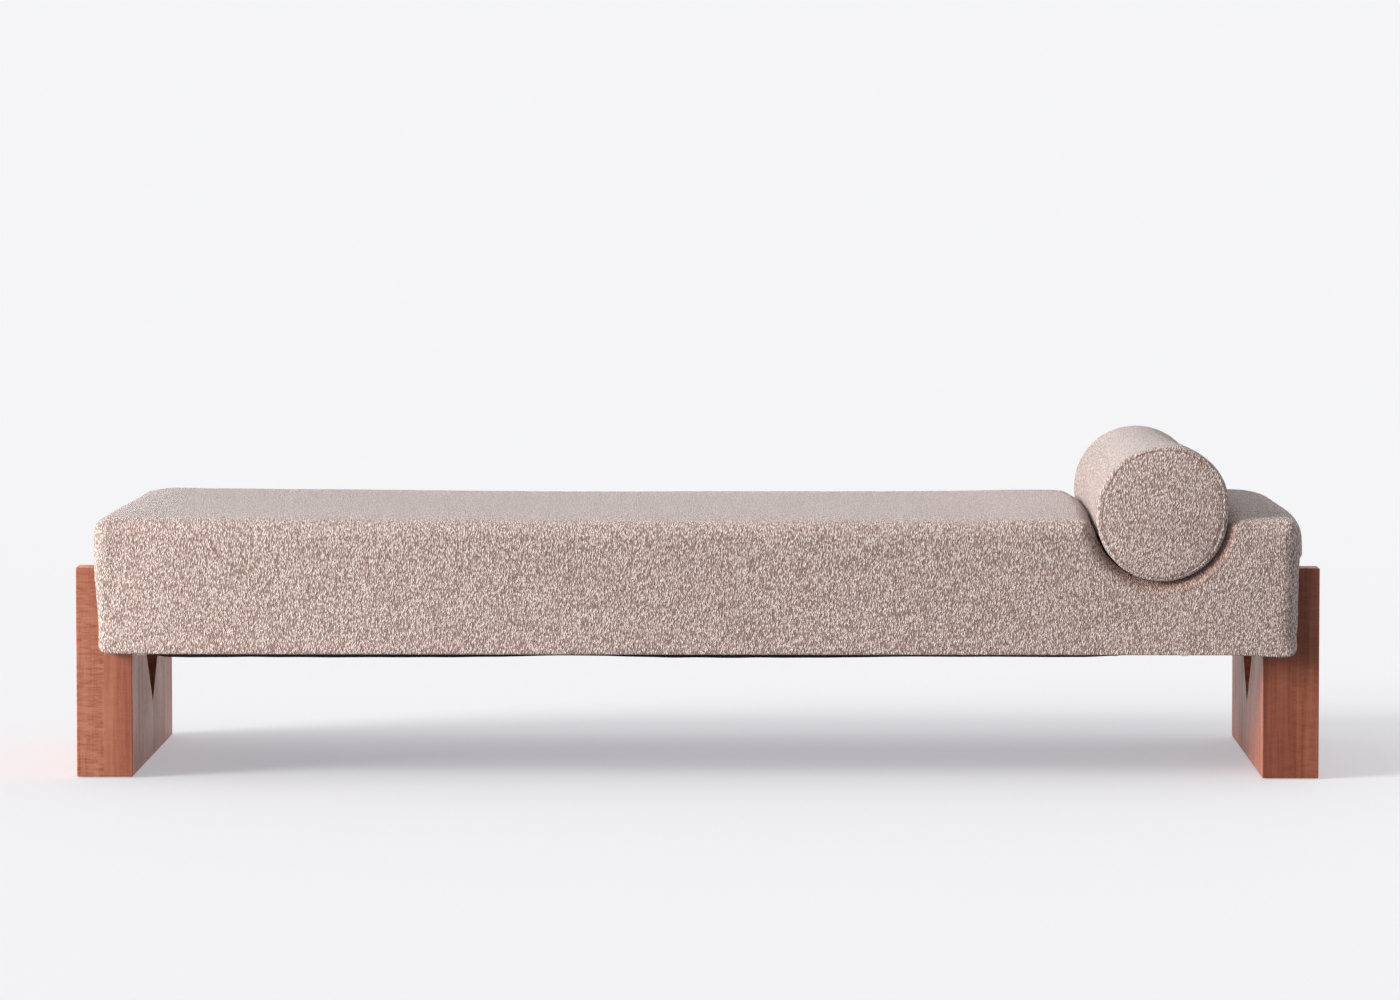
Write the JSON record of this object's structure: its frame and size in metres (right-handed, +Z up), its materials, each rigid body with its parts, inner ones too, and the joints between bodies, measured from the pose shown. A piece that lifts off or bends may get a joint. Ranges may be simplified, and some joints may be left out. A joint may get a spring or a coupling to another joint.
{
  "type": "daybed",
  "caption": "Low daybed: long boucle seat held between two V-notched hardwood end legs, with a loose round bolster lying in a half-round saddle near one end.",
  "frame": {"origin": "on the floor, under the middle of the daybed's plan", "axes": "+X along the length towards the bolster's end, +Y from the front edge to the back edge, +Z up"},
  "size_m": [2.032, 0.77, 0.541],
  "materials": {
    "leg_wood": "satin",
    "frame_wood": "sawn",
    "deck_plywood": "sanded",
    "boucle": "nubby loop",
    "foam": "matte",
    "wadding": "matte",
    "dust_cloth": "matte",
    "glide_nylon": "matte",
    "zinc_steel": "zinc plated",
    "zip_tape": "matte",
    "zip_metal": "matte"
  },
  "bodies": {
    "daybed": {"back_padding": "wadding", "deck_panel": "deck_plywood", "dust_cover": "dust_cloth", "dust_cover_staples": "zinc_steel", "front_padding": "wadding", "left_end_padding": "wadding", "left_leg_bolts": "zinc_steel", "left_leg_glides": "glide_nylon", "left_leg_inner_stave_1": "leg_wood", "left_leg_inner_stave_2": "leg_wood", "left_leg_inner_stave_3": "leg_wood", "left_leg_inner_stave_4": "leg_wood", "left_leg_outer_stave_1": "leg_wood", "left_leg_outer_stave_2": "leg_wood", "left_leg_outer_stave_3": "leg_wood", "left_leg_outer_stave_4": "leg_wood", "left_leg_washers": "zinc_steel", "left_seat_inserts": "zinc_steel", "right_end_padding": "wadding", "right_leg_bolts": "zinc_steel", "right_leg_glides": "glide_nylon", "right_leg_inner_stave_1": "leg_wood", "right_leg_inner_stave_2": "leg_wood", "right_leg_inner_stave_3": "leg_wood", "right_leg_inner_stave_4": "leg_wood", "right_leg_outer_stave_1": "leg_wood", "right_leg_outer_stave_2": "leg_wood", "right_leg_outer_stave_3": "leg_wood", "right_leg_outer_stave_4": "leg_wood", "right_leg_washers": "zinc_steel", "right_seat_inserts": "zinc_steel", "seat_cover": "boucle", "seat_foam": "foam", "seat_frame_back_rail": "frame_wood", "seat_frame_corner_blocks": "frame_wood", "seat_frame_cross_rail_1": "frame_wood", "seat_frame_cross_rail_2": "frame_wood", "seat_frame_cross_rail_3": "frame_wood", "seat_frame_cross_rail_4": "frame_wood", "seat_frame_dowels": "frame_wood", "seat_frame_front_rail": "frame_wood", "seat_frame_left_end_rail": "frame_wood", "seat_frame_right_end_rail": "frame_wood"},
    "bolster": {"bolster_core": "foam", "bolster_cover_back_end": "boucle", "bolster_cover_front_end": "boucle", "bolster_cover_sleeve": "boucle", "bolster_wadding": "wadding", "bolster_zip_tape": "zip_tape"},
    "zip_slider": {"bolster_zip_slider": "zip_metal"}
  },
  "joints": [
    {"name": "bolster_lift", "type": "slide", "parent": "daybed", "child": "bolster", "axis": [0, 0, 1], "range_m": [0, 0.25]},
    {"name": "zip_slider_travel", "type": "slide", "parent": "bolster", "child": "zip_slider", "axis": [0, 1, 0], "range_m": [0, 0.476]}
  ]
}
